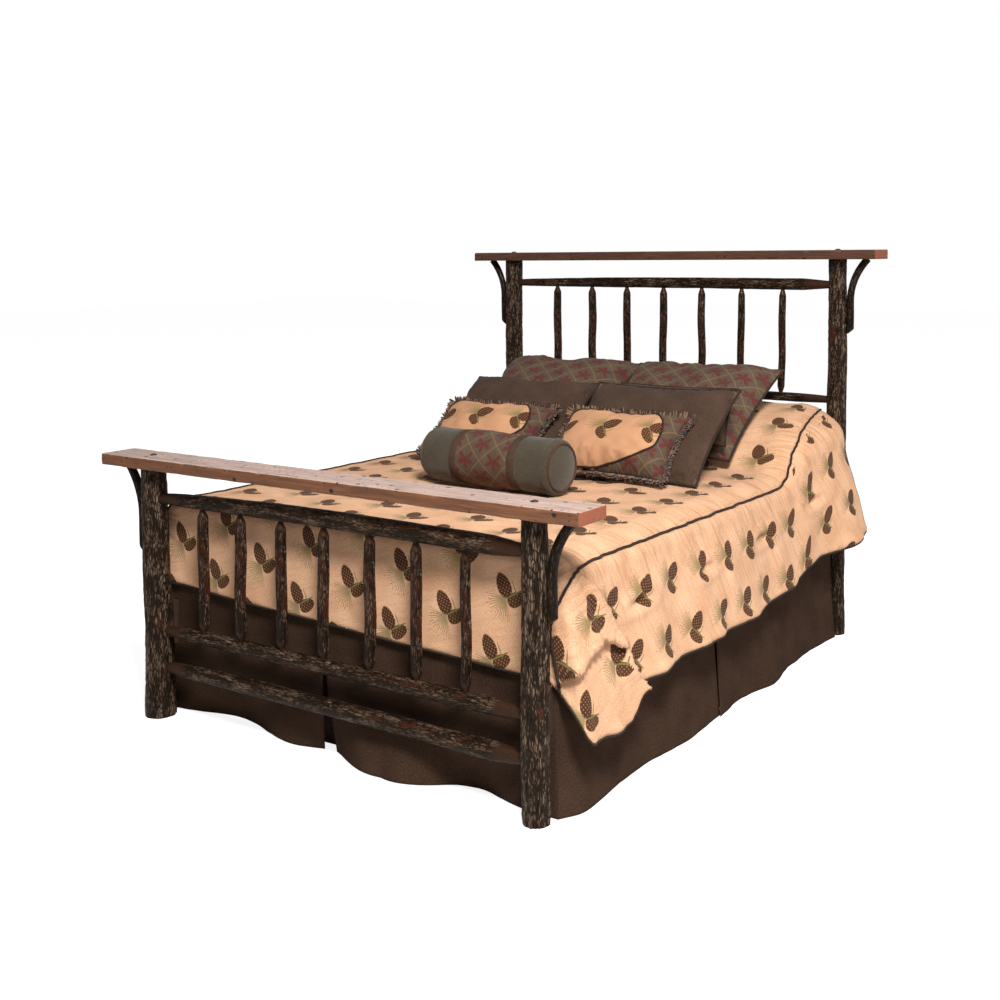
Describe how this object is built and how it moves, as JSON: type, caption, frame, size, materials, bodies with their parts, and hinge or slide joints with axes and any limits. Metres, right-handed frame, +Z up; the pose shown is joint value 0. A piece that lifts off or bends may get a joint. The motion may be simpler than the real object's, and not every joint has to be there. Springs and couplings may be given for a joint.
{
  "type": "rustic log bed",
  "caption": "Queen bed of bark-on hickory logs with a plank along each end, spindles and bent braces, dressed with comforter, split skirt, shams, cushions and bolster.",
  "frame": {"origin": "on the floor, midway between the post planes of the foot and the head and on the bed's centre line", "axes": "+Y towards the head, +Z up, +X towards the right side seen from the foot"},
  "size_m": [1.96, 2.34, 1.587],
  "materials": {
    "post_bark": "hickory log with the bark on, sealed",
    "rail_bark": "hickory rail, bark partly rubbed through",
    "spindle_bark": "hickory stick with rubbed bark and pointed ends",
    "barn_plank": "weathered barn board with nail holes, oiled",
    "bent_hickory": "steam-bent hickory stick",
    "sawn_wood": "planed softwood",
    "blackened_steel": "blackened steel",
    "box_spring_cover": "woven cover",
    "mattress_ticking": "woven ticking",
    "skirt_deck_cloth": "plain muslin",
    "skirt_suede": "dark brown faux suede",
    "comforter_chenille": "peach-tan chenille with woven pine cones",
    "pillow_cotton": "white cotton",
    "leaf_jacquard": "olive jacquard with maroon leaves in a gold lattice",
    "brown_suede": "dark brown faux suede with piping",
    "boudoir_chenille": "chenille oval on jacquard with brush fringe",
    "bolster_velvet": "olive velvet cuffs and jacquard middle"
  },
  "bodies": {
    "root": {"back_pillow": "brown_suede", "bed_pillow_left": "pillow_cotton", "bed_pillow_right": "pillow_cotton", "bolster": "bolster_velvet", "boudoir_pillow_left": "boudoir_chenille", "boudoir_pillow_right": "boudoir_chenille", "box_spring": "box_spring_cover", "brace_screws": "blackened_steel", "brown_sham_left": "brown_suede", "brown_sham_right": "brown_suede", "comforter": "comforter_chenille", "foot_bottom_rail": "rail_bark", "foot_brace_left": "bent_hickory", "foot_brace_right": "bent_hickory", "foot_middle_rail": "rail_bark", "foot_plank": "barn_plank", "foot_post_left": "post_bark", "foot_post_right": "post_bark", "foot_spindle_1": "spindle_bark", "foot_spindle_2": "spindle_bark", "foot_spindle_3": "spindle_bark", "foot_spindle_4": "spindle_bark", "foot_spindle_5": "spindle_bark", "foot_spindle_6": "spindle_bark", "foot_spindle_7": "spindle_bark", "foot_top_rail": "rail_bark", "head_bottom_rail": "rail_bark", "head_brace_left": "bent_hickory", "head_brace_right": "bent_hickory", "head_middle_rail": "rail_bark", "head_plank": "barn_plank", "head_post_left": "post_bark", "head_post_right": "post_bark", "head_spindle_1": "spindle_bark", "head_spindle_2": "spindle_bark", "head_spindle_3": "spindle_bark", "head_spindle_4": "spindle_bark", "head_spindle_5": "spindle_bark", "head_spindle_6": "spindle_bark", "head_spindle_7": "spindle_bark", "head_top_rail": "rail_bark", "ledger_left": "sawn_wood", "ledger_right": "sawn_wood", "mattress": "mattress_ticking", "plank_bolts": "blackened_steel", "rail_hook_plates": "blackened_steel", "rear_sham_left": "leaf_jacquard", "rear_sham_right": "leaf_jacquard", "side_rail_left": "sawn_wood", "side_rail_right": "sawn_wood", "skirt_deck": "skirt_deck_cloth", "skirt_foot_left": "skirt_suede", "skirt_foot_right": "skirt_suede", "skirt_left_near_foot": "skirt_suede", "skirt_left_near_head": "skirt_suede", "skirt_pleats": "skirt_suede", "skirt_right_near_foot": "skirt_suede", "skirt_right_near_head": "skirt_suede", "slats": "sawn_wood"}
  },
  "joints": []
}
